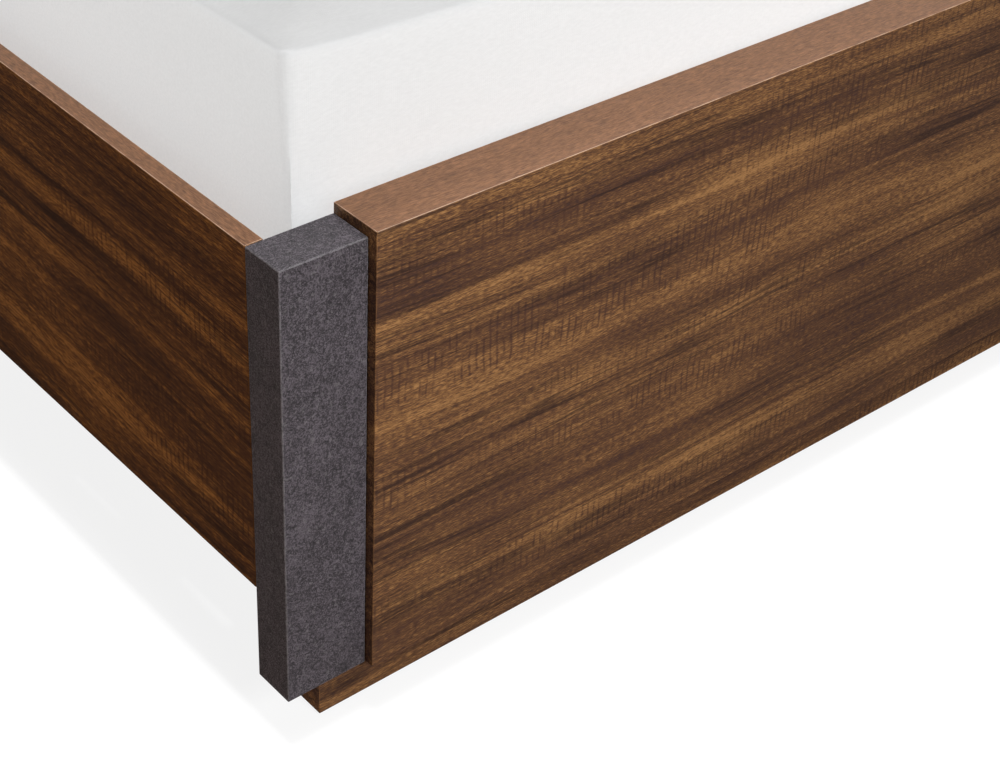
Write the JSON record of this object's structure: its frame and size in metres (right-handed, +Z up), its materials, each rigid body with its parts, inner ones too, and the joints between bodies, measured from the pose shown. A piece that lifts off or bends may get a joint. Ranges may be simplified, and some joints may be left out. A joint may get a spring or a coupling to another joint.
{
  "type": "platform bed",
  "caption": "Queen platform bed with walnut panels between slate-look corner posts on recessed plinths, a slatted base, a mattress and a wide storage drawer in each side rail.",
  "frame": {"origin": "on the floor, under the middle of the bed", "axes": "+Y runs from the foot to the head, +X is to the right seen from the foot, +Z is up"},
  "size_m": [1.62, 2.16, 1.13],
  "materials": {
    "walnut_veneer": "satin",
    "slate": "matte",
    "plywood": "matte",
    "zinc_steel": "satin",
    "black_plastic": "matte",
    "mattress_ticking": "matte"
  },
  "bodies": {
    "bed_frame": {"foot_post_left": "slate", "foot_post_right": "slate", "head_post_left": "slate", "head_post_right": "slate", "footboard_panel": "walnut_veneer", "headboard_panel": "walnut_veneer", "footboard_plinth": "walnut_veneer", "headboard_plinth": "walnut_veneer", "glide_foot_left": "black_plastic", "glide_foot_right": "black_plastic", "glide_head_left": "black_plastic", "glide_head_right": "black_plastic", "side_rail_left": "walnut_veneer", "side_rail_right": "walnut_veneer", "rail_bracket_foot_left": "zinc_steel", "rail_bracket_foot_right": "zinc_steel", "rail_bracket_head_left": "zinc_steel", "rail_bracket_head_right": "zinc_steel", "slat_ledge_left": "plywood", "slat_ledge_right": "plywood", "slat_01": "plywood", "slat_02": "plywood", "slat_03": "plywood", "slat_04": "plywood", "slat_05": "plywood", "slat_06": "plywood", "slat_07": "plywood", "slat_08": "plywood", "slat_09": "plywood", "slat_10": "plywood", "centre_beam": "plywood", "beam_hanger_foot": "zinc_steel", "beam_hanger_head": "zinc_steel", "centre_leg_foot": "plywood", "centre_leg_head": "plywood", "leg_pad_foot": "black_plastic", "leg_pad_head": "black_plastic", "mattress": "mattress_ticking", "drawer_partition_left_foot": "plywood", "drawer_partition_left_head": "plywood", "drawer_partition_right_foot": "plywood", "drawer_partition_right_head": "plywood", "slide_channel_left_foot": "zinc_steel", "slide_channel_left_head": "zinc_steel", "slide_channel_right_foot": "zinc_steel", "slide_channel_right_head": "zinc_steel"},
    "drawer_left": {"drawer_front_left": "walnut_veneer", "drawer_side_left_foot": "plywood", "drawer_side_left_head": "plywood", "drawer_back_left": "plywood", "drawer_bottom_left": "plywood", "slide_runner_left_foot": "zinc_steel", "slide_runner_left_head": "zinc_steel"},
    "drawer_right": {"drawer_front_right": "walnut_veneer", "drawer_side_right_foot": "plywood", "drawer_side_right_head": "plywood", "drawer_back_right": "plywood", "drawer_bottom_right": "plywood", "slide_runner_right_foot": "zinc_steel", "slide_runner_right_head": "zinc_steel"}
  },
  "joints": [
    {"name": "drawer_left_slide", "type": "slide", "parent": "bed_frame", "child": "drawer_left", "axis": [-1, 0, 0], "range_m": [0, 0.42]},
    {"name": "drawer_right_slide", "type": "slide", "parent": "bed_frame", "child": "drawer_right", "axis": [1, 0, 0], "range_m": [0, 0.42]}
  ]
}
